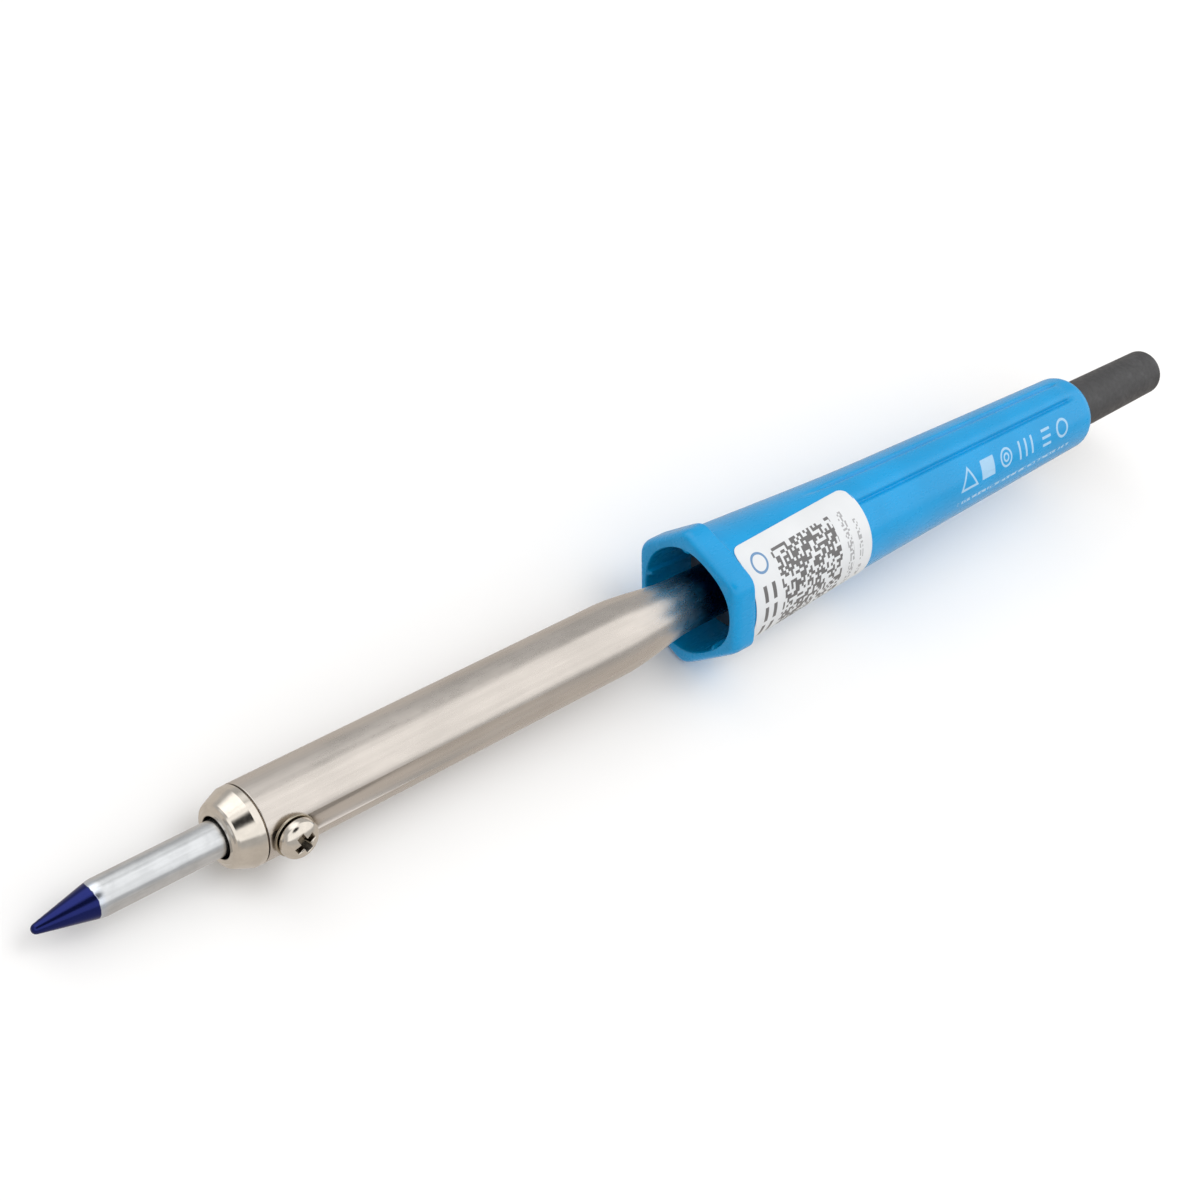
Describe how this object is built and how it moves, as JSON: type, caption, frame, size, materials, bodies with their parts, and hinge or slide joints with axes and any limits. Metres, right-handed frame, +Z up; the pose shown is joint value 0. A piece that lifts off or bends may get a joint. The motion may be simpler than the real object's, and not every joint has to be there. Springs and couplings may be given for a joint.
{
  "type": "soldering iron",
  "caption": "Straight mains soldering iron with a clamped pencil bit, plated heater barrel, hexagonal finger guard, tapered moulded grip and a rubber strain relief sleeve.",
  "frame": {"origin": "on the surface that the iron lies on, under the centre of its outline", "axes": "+X runs from the bit to the strain relief sleeve, level; +Z is up; the iron's own axis rises 3.1 degrees towards the handle, because it lies on its nose collar and on one flat of the finger guard"},
  "size_m": [0.3362, 0.0316, 0.0311],
  "materials": {
    "bit": "dull silver plating on copper, dark blue lacquer on the cone",
    "collar_nickel": "polished nickel plate, warm",
    "fastener_nickel": "bright nickel plate",
    "barrel_nickel": "satin nickel-plated steel tube",
    "socket_steel": "heat-stained steel tube",
    "plate_steel": "zinc-plated steel",
    "mica": null,
    "ceramic": "unglazed steatite",
    "resistance_wire": "oxidised nickel-chrome wire",
    "lead_nickel": "bare nickel wire",
    "glass_fibre": "braided glass-fibre sleeving",
    "earth_wire": "green insulated wire",
    "terminal_brass": "machined brass",
    "handle_plastic": "glossy sky-blue moulding",
    "sleeve_rubber": "matte black moulding",
    "label_film": "white film label"
  },
  "bodies": {
    "iron": {"barrel_tube": "barrel_nickel", "bit_socket_tube": "socket_steel", "earth_wire": "earth_wire", "front_ceramic_ring": "ceramic", "handle_shell": "handle_plastic", "heater_winding": "resistance_wire", "inner_mica_tube": "mica", "lead_sleeve_live": "glass_fibre", "lead_sleeve_neutral": "glass_fibre", "lead_wire_live": "lead_nickel", "lead_wire_neutral": "lead_nickel", "mica_heat_shield": "mica", "mounting_plate": "plate_steel", "nose_collar": "collar_nickel", "outer_mica_tube": "mica", "plate_screw_1": "plate_steel", "plate_screw_2": "plate_steel", "plate_screw_3": "plate_steel", "rating_label": "label_film", "rear_ceramic_bush": "ceramic", "strain_relief_sleeve": "sleeve_rubber", "terminal_block": "ceramic", "terminal_insert_1": "terminal_brass", "terminal_insert_2": "terminal_brass", "terminal_insert_3": "terminal_brass", "terminal_screw_1": "terminal_brass", "terminal_screw_2": "terminal_brass", "terminal_screw_3": "terminal_brass", "terminal_screw_4": "terminal_brass", "terminal_screw_5": "terminal_brass", "terminal_screw_6": "terminal_brass"},
    "bit": {"soldering_bit": "bit"},
    "washer": {"set_screw_washer": "fastener_nickel"},
    "screw": {"set_screw": "fastener_nickel"}
  },
  "joints": [
    {"name": "bit_slide", "type": "slide", "parent": "iron", "child": "bit", "axis": [-0.9986, 0, -0.0538], "range_m": [0, 0.05]},
    {"name": "set_screw_travel", "type": "slide", "parent": "iron", "child": "washer", "axis": [-0.0232, -0.9026, 0.4299], "range_m": [0, 0.00245]},
    {"name": "set_screw_turn", "type": "hinge", "parent": "washer", "child": "screw", "pos_m": [-0.11993, 0, 0.00836], "axis": [-0.0232, -0.9026, 0.4299], "range_deg": [0, 1260.5]}
  ],
  "couplings": [
    {"joint": "set_screw_turn", "follows": "set_screw_travel", "rad_per_m": 8976}
  ]
}
